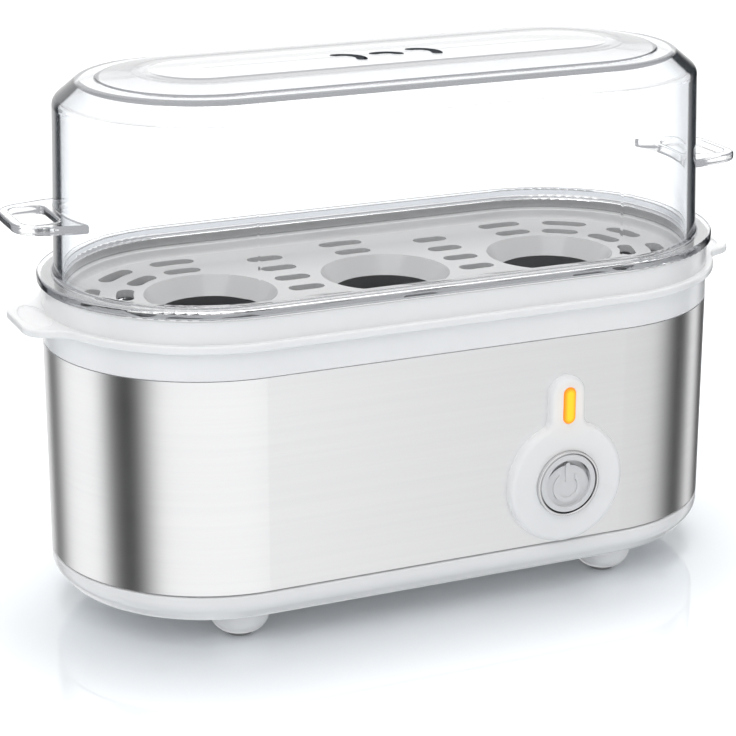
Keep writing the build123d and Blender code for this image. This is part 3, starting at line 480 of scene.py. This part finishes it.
def edgeColour(tree, at, s):  # painted shade: the round ends go dark where they are seen edge-on
    facing = tree.nodes.new("ShaderNodeLayerWeight")
    facing.inputs["Blend"].default_value = s["blend"]
    ramp = tree.nodes.new("ShaderNodeValToRGB")
    stops = ramp.color_ramp.elements
    stops[0].position = s["softStart"]
    stops[0].color = rgba(s["face"])
    stops[1].position = s["edgeEnd"]
    stops[1].color = rgba(s["edge"])
    for position in (s["softEnd"], s["edgeStart"]):
        stops.new(position).color = rgba(s["soft"])
    tree.links.new(facing.outputs["Facing"], ramp.inputs[0])
    plain = tree.nodes.new("ShaderNodeRGB")
    plain.outputs[0].default_value = rgba(s["face"])
    steep = without(tree, between(tree, at["level"], *s["slanted"]))
    ends = between(tree, at["length"], *(end * mm for end in s["ends"]))
    walls = product(tree, at["outside"], at["front"], steep, ends)
    return mixColour(tree, walls, plain.outputs[0], ramp.outputs[0])


def ventShade(tree, at, s):  # painted shade on the walls of the steam vents
    along = mathNode(tree, "LESS_THAN", at["length"], s["reach"][0] * mm)
    across = mathNode(tree, "LESS_THAN", at["width"], s["reach"][1] * mm)
    high = mathNode(tree, "GREATER_THAN", at["height"], s["bottom"] * mm)
    return product(tree, along, across, high, at["upright"])


def slopeShade(tree, at, s):  # painted shade on the crown's slope, which fades away from the spine
    levelSquare = mathNode(tree, "MULTIPLY", at["level"], at["level"])
    lean = mathNode(tree, "SQRT", without(tree, levelSquare))
    crown = mathNode(tree, "LESS_THAN", at["reach"], s["outer"] * mm)
    near = without(tree, between(tree, at["reach"], s["inner"] * mm, s["fade"] * mm))
    flat = without(tree, at["upright"])
    return product(tree, between(tree, lean, *s["lean"]), flat, crown, near, at["front"])


def flangeShade(tree, at, s):  # painted shade on the flange's upright edge
    rim = mathNode(tree, "GREATER_THAN", at["reach"], s["inner"] * mm)
    below = mathNode(tree, "LESS_THAN", at["height"], s["top"] * mm)
    return product(tree, rim, below, at["upright"])


def lidLight(tree, bsdf, s):  # light passes the lid without caustics, and a painted glow stands in for what stays in its wall
    new, link = tree.nodes.new, tree.links.new
    path = new("ShaderNodeLightPath")
    paintedGlow = new("ShaderNodeEmission")
    paintedGlow.inputs["Color"].default_value = rgba(s["paintedGlow"])
    wall = new("ShaderNodeMixShader")
    link(mathNode(tree, "GREATER_THAN", path.outputs["Glossy Depth"], s["bounces"]), wall.inputs[0])
    link(bsdf.outputs[0], wall.inputs[1])
    link(paintedGlow.outputs[0], wall.inputs[2])
    clear = new("ShaderNodeBsdfTransparent")
    clear.inputs[0].default_value = rgba((s["light"],) * 3)
    both = new("ShaderNodeMixShader")
    unseen = mathNode(tree, "MAXIMUM", path.outputs["Is Shadow Ray"], path.outputs["Is Diffuse Ray"])
    link(unseen, both.inputs[0])
    link(wall.outputs[0], both.inputs[1])
    link(clear.outputs[0], both.inputs[2])
    link(both.outputs[0], tree.nodes["Material Output"].inputs["Surface"])


def clearPlastic(name, s):
    mat, tree, bsdf = newMaterial(name)
    at = lidPoint(tree, s)
    colour = edgeColour(tree, at, s)
    for place, shade in (("vent", ventShade), ("slope", slopeShade), ("flange", flangeShade)):
        colour = tinted(tree, colour, shade(tree, at, s[place]), s[place]["tint"])
    tree.links.new(colour, bsdf.inputs["Base Color"])
    bsdf.inputs["Transmission Weight"].default_value = 1.0
    bsdf.inputs["Roughness"].default_value = s["roughness"]
    bsdf.inputs["IOR"].default_value = s["ior"]
    bsdf.inputs["Specular Tint"].default_value = rgba((s["shine"],) * 3)
    lidLight(tree, bsdf, s)
    return mat


# Lit amber lens: yellow along its middle line, orange at the rim

litLens = {
    "core": (1.0, 0.72, 0.02),
    "rim": (0.90, 0.27, 0.005),
    "glow": 0.92,
    "line": 0.0032,  # half length of its middle line, m
    "reach": (0.000475, 0.0019),  # m from that line, from core to rim
    "body": 0.3,  # share of the rim's colour when unlit
    "roughness": 0.25,
}


def amberLens(name, s, middle):
    mat, tree, bsdf = newMaterial(name)
    x, _, z = objectPlace(tree)
    across = mathNode(tree, "SUBTRACT", x, middle[0])
    along = mathNode(tree, "ABSOLUTE", mathNode(tree, "SUBTRACT", z, middle[2]))
    along = mathNode(tree, "MAXIMUM", mathNode(tree, "SUBTRACT", along, s["line"]), 0.0)
    squares = mathNode(tree, "MULTIPLY_ADD", across, across, mathNode(tree, "MULTIPLY", along, along))
    share = between(tree, mathNode(tree, "SQRT", squares), *s["reach"])
    ramp = tree.nodes.new("ShaderNodeValToRGB")
    ramp.color_ramp.elements[0].color = rgba(s["core"])
    ramp.color_ramp.elements[1].color = rgba(s["rim"])
    tree.links.new(share, ramp.inputs[0])
    tree.links.new(ramp.outputs[0], bsdf.inputs["Emission Color"])
    bsdf.inputs["Base Color"].default_value = rgba(s["body"] * part for part in s["rim"])
    bsdf.inputs["Emission Strength"].default_value = s["glow"]
    bsdf.inputs["Roughness"].default_value = s["roughness"]
    return mat


# Neon lamp behind the lens

neonLamp = {
    "colour": (1.0, 0.55, 0.2),
    "haze": (1.0, 0.85, 0.6),
    "hazeScale": 900.0,
    "glow": 0.8,
    "clear": 0.6,
    "ior": 1.5,
    "roughness": 0.05,
}


def neonGlass(name, s):
    mat, tree, bsdf = newMaterial(name)
    place = tree.nodes.new("ShaderNodeTexCoord")
    haze = tree.nodes.new("ShaderNodeTexNoise")
    haze.inputs["Scale"].default_value = s["hazeScale"]
    tree.links.new(place.outputs["Object"], haze.inputs["Vector"])
    ramp = tree.nodes.new("ShaderNodeValToRGB")
    ramp.color_ramp.elements[0].color = rgba(s["colour"])
    ramp.color_ramp.elements[1].color = rgba(s["haze"])
    tree.links.new(haze.outputs[0], ramp.inputs[0])
    tree.links.new(ramp.outputs[0], bsdf.inputs["Emission Color"])
    bsdf.inputs["Base Color"].default_value = rgba(s["colour"])
    bsdf.inputs["Emission Strength"].default_value = s["glow"]
    bsdf.inputs["Transmission Weight"].default_value = s["clear"]
    bsdf.inputs["IOR"].default_value = s["ior"]
    bsdf.inputs["Roughness"].default_value = s["roughness"]
    return mat


addWorld(studio)
addFloor(floorSet)
for lampName, lampSet in lamps.items():
    addLamp(lampName, lampSet)
lensLow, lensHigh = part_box("indicator_lens")
lensMiddle = [(low + high) / 2 for low, high in zip(lensLow, lensHigh)]
addLensGlow(lensGlow, lensLow, lensMiddle)
print("studio set up")

# Finishes of the record's slots

plasticSets = {
    "white_plastic": {
        "colour": (0.905, 0.908, 0.914), "tint": (0.885, 0.89, 0.90), "fine": 700.0, "broad": 30.0,
        "roughness": 0.17, "roughChange": 0.08, "bump": 0.04, "depth": 0.1,
    },
    "pad_rubber": {
        "colour": (0.34, 0.34, 0.35), "tint": (0.26, 0.26, 0.27), "fine": 1500.0, "broad": 120.0,
        "roughness": 0.75, "roughChange": 0.15, "bump": 0.3, "depth": 0.1,
    },
    "seal_rubber": {
        "colour": (0.78, 0.78, 0.76), "tint": (0.70, 0.70, 0.68), "fine": 900.0, "broad": 90.0,
        "roughness": 0.55, "roughChange": 0.15, "bump": 0.15, "depth": 0.1,
    },
    "gland_rubber": {
        "colour": (0.76, 0.76, 0.76), "tint": (0.70, 0.70, 0.70), "fine": 900.0, "broad": 90.0,
        "roughness": 0.50, "roughChange": 0.15, "bump": 0.15, "depth": 0.1,
    },
    "moulded_black": {
        "colour": (0.045, 0.045, 0.045), "tint": (0.065, 0.065, 0.065), "fine": 1200.0, "broad": 90.0,
        "roughness": 0.45, "roughChange": 0.15, "bump": 0.2, "depth": 0.1,
    },
    "white_nylon": {
        "colour": (0.78, 0.78, 0.74), "tint": (0.72, 0.72, 0.67), "fine": 900.0, "broad": 70.0,
        "roughness": 0.42, "roughChange": 0.12, "bump": 0.1, "depth": 0.1,
    },
    "brown_lead": {
        "colour": (0.20, 0.10, 0.05), "tint": (0.25, 0.13, 0.07), "fine": 1500.0, "broad": 150.0,
        "roughness": 0.45, "roughChange": 0.12, "bump": 0.1, "depth": 0.1,
    },
    "blue_lead": {
        "colour": (0.09, 0.20, 0.50), "tint": (0.12, 0.25, 0.58), "fine": 1500.0, "broad": 150.0,
        "roughness": 0.45, "roughChange": 0.12, "bump": 0.1, "depth": 0.1,
    },
    "lamp_lead": {
        "colour": (0.70, 0.09, 0.07), "tint": (0.78, 0.13, 0.10), "fine": 1500.0, "broad": 150.0,
        "roughness": 0.45, "roughChange": 0.12, "bump": 0.1, "depth": 0.1,
    },
}

metalSets = {
    "stainless_band": {
        "colour": (0.97, 0.972, 0.975), "tint": (0.89, 0.895, 0.905), "stretch": (0.008, 0.008, 1.0),
        "fine": 4200.0, "broad": 900.0, "roughness": 0.32, "roughChange": 0.10, "bump": 0.05, "depth": 0.05,
        "anisotropy": 0.85, "turn": 0.25,
    },
    "bowl_steel": {
        "colour": (0.55, 0.55, 0.56), "tint": (0.46, 0.46, 0.47), "stretch": (0.1, 1.0, 1.0),
        "fine": 1200.0, "broad": 200.0, "roughness": 0.32, "roughChange": 0.12, "bump": 0.05, "depth": 0.05,
    },
    "silver_button": {
        "colour": (0.76, 0.765, 0.78), "tint": (0.70, 0.705, 0.72), "fine": 1800.0, "broad": 150.0,
        "roughness": 0.38, "roughChange": 0.1, "bump": 0.04, "depth": 0.05, "metallic": 0.25,
        # painted shade on the down-turned faces of the button's recess and lower rim
        "under": {"turn": (0.25, 0.6), "tint": (0.06, 0.06, 0.065)},
    },
    "bright_ring": {
        "colour": (0.82, 0.82, 0.83), "tint": (0.76, 0.76, 0.77), "fine": 1500.0, "broad": 150.0,
        "roughness": 0.14, "roughChange": 0.06, "bump": 0.02, "depth": 0.05,
    },
    "plated_steel": {
        "colour": (0.62, 0.62, 0.64), "tint": (0.52, 0.52, 0.55), "fine": 1500.0, "broad": 150.0,
        "roughness": 0.32, "roughChange": 0.15, "bump": 0.06, "depth": 0.05,
    },
    "spring_steel": {
        "colour": (0.50, 0.50, 0.52), "tint": (0.40, 0.40, 0.42), "fine": 2000.0, "broad": 200.0,
        "roughness": 0.3, "roughChange": 0.15, "bump": 0.06, "depth": 0.05,
    },
    "element_sheath": {
        "colour": (0.34, 0.33, 0.31), "tint": (0.24, 0.22, 0.20), "fine": 900.0, "broad": 60.0,
        "roughness": 0.5, "roughChange": 0.2, "bump": 0.08, "depth": 0.05,
    },
    "fuse_metal": {
        "colour": (0.66, 0.65, 0.62), "tint": (0.56, 0.55, 0.52), "fine": 1500.0, "broad": 150.0,
        "roughness": 0.35, "roughChange": 0.12, "bump": 0.05, "depth": 0.05,
    },
    "terminal_brass": {
        "colour": (0.72, 0.56, 0.27), "tint": (0.60, 0.45, 0.20), "fine": 1500.0, "broad": 200.0,
        "roughness": 0.3, "roughChange": 0.15, "bump": 0.05, "depth": 0.05,
    },
}

finishes = {}
for slotName, plasticSet in plasticSets.items():
    finishes[slotName] = mouldedPlastic(slotName, plasticSet)
for slotName, metalSet in metalSets.items():
    finishes[slotName] = workedMetal(slotName, metalSet)
finishes["clear_plastic"] = clearPlastic("clear_plastic", clearLid)
finishes["amber_lens"] = amberLens("amber_lens", litLens, lensMiddle)
finishes["lamp_glass"] = neonGlass("lamp_glass", neonLamp)

for part in frame["record"]["subparts"]:
    nodes[part["node"]].material_slots[0].material = finishes[part["material_slot"]]
print("finishes on", len(nodes), "nodes")

# Button spring: a copy of the same coil, with its doubled points merged, on the housing in place of the CAD
# node

springCoil = {
    "node": "button_spring",
    "joint": "button_press",
    "travel": 0.0025,  # m
    "fixedEnd": -0.0346,  # m along Y, on the barrel's floor
    "merge": 0.000001,  # m
}


def addSpring(s):
    bpy.ops.object.select_all(action="DESELECT")
    nodes[s["node"]].select_set(True)
    bpy.context.view_layer.objects.active = nodes[s["node"]]
    bpy.ops.object.duplicate()
    coil = bpy.context.object
    coil.name = "springCoil"
    bpy.ops.object.mode_set(mode="EDIT")
    bpy.ops.mesh.select_all(action="SELECT")
    bpy.ops.mesh.remove_doubles(threshold=s["merge"])
    bpy.ops.object.mode_set(mode="OBJECT")
    del coil["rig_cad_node"]
    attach(coil, "housing")
    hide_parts(s["node"])
    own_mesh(coil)


addSpring(springCoil)
